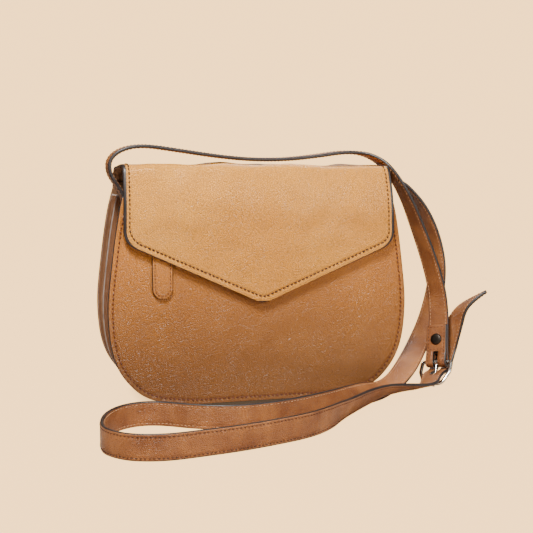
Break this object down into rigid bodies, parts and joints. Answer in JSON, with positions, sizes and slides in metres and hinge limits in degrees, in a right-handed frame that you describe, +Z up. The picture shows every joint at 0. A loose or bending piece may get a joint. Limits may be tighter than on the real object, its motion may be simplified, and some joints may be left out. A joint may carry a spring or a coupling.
{
  "type": "sling bag",
  "caption": "Leather saddle sling bag with a magnetic envelope flap, gusseted compartments, a front zip pocket and a long strap that joins in a buckle.",
  "frame": {"origin": "middle of the underside of the bag's body, which stands on the floor", "axes": "+X to the right across the bag's width, -Y out of the front with the flap, +Z up"},
  "size_m": [0.3782, 0.2433, 0.226],
  "materials": {
    "tan_leather": "fine grained, light tan, satin",
    "brown_leather": "smooth chestnut, satin",
    "strap_leather": "grained chestnut with dark grey painted edges",
    "lining_leather": "thin suede",
    "lining_cloth": "plain woven cotton",
    "zip_cloth": "woven tape",
    "magnet_metal": "plain",
    "brass_metal": "aged",
    "dark_metal": "dark antique",
    "nickel_metal": "polished nickel"
  },
  "bodies": {
    "bag": {"front_panel": "tan_leather", "back_panel": "tan_leather", "divider_panel": "brown_leather", "front_gusset": "brown_leather", "rear_gusset": "brown_leather", "front_lining": "lining_cloth", "rear_lining": "lining_cloth", "slip_pocket": "lining_cloth", "flap_top": "tan_leather", "panel_magnet": "magnet_metal", "zip_tapes": "zip_cloth", "zip_teeth": "brass_metal", "zip_stops": "brass_metal", "zip_pocket_bag": "lining_cloth", "anchor_patch_left": "brown_leather", "anchor_patch_right": "brown_leather", "anchor_rivets": "dark_metal", "strap_short": "strap_leather", "strap_long": "strap_leather", "strap_rivet": "dark_metal", "buckle_frame": "nickel_metal"},
    "flap": {"flap_front": "tan_leather", "flap_lining": "lining_leather", "flap_magnet": "magnet_metal"},
    "slider": {"zip_slider": "brass_metal"},
    "pull": {"pull_link": "brass_metal", "pull_tab": "tan_leather"},
    "prong": {"buckle_prong": "nickel_metal"}
  },
  "joints": [
    {"name": "flap_lift", "type": "hinge", "parent": "bag", "child": "flap", "pos_m": [0, -0.0279, 0.1979], "axis": [-1, 0, 0], "range_deg": [0, 140]},
    {"name": "zip_slide", "type": "slide", "parent": "bag", "child": "slider", "axis": [1, 0, 0], "range_m": [0, 0.17]},
    {"name": "pull_swing", "type": "hinge", "parent": "slider", "child": "pull", "pos_m": [-0.0883, -0.039, 0.15], "axis": [0, 1, 0], "range_deg": [-45, 45]},
    {"name": "prong_swing", "type": "hinge", "parent": "bag", "child": "prong", "pos_m": [0.1684, -0.0369, 0.0252], "axis": [0.6711, -0.7261, 0.15], "range_deg": [0, 60]}
  ]
}
